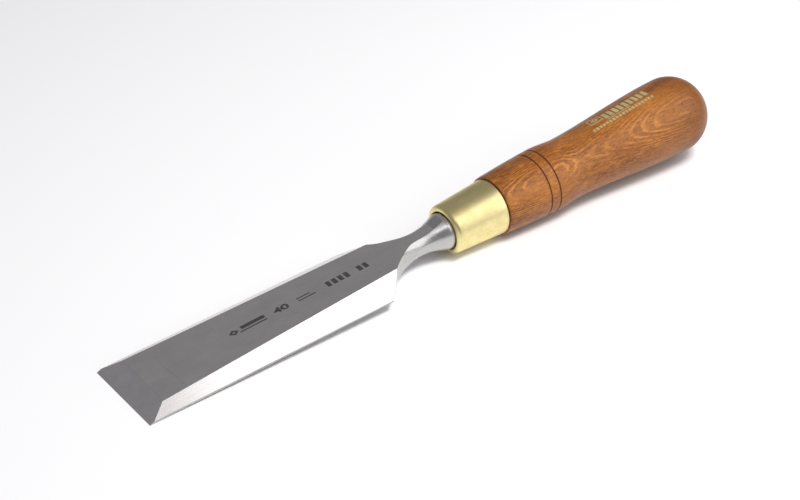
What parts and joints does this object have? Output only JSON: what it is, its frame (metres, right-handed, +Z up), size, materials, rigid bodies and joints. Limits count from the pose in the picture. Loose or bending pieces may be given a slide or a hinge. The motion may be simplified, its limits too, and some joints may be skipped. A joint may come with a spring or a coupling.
{
  "type": "bench chisel",
  "caption": "Bevel-edge bench chisel: a flat-backed steel blade on a waisted neck, a tapered brass ferrule and a turned, stained wooden handle with a rounded butt.",
  "frame": {"origin": "on the bench surface, under the middle of the chisel as it rests on its cutting edge and the front of its handle", "axes": "+X from the cutting edge to the butt of the handle, +Z up, the flat back of the blade facing down"},
  "size_m": [0.3136, 0.04, 0.0386],
  "materials": {
    "blade_steel": "fine ground, with a polished neck",
    "ferrule_brass": "satin",
    "handle_wood": "brown stain under satin lacquer"
  },
  "bodies": {
    "root": {"blade": "blade_steel", "ferrule": "ferrule_brass", "handle": "handle_wood"}
  },
  "joints": []
}
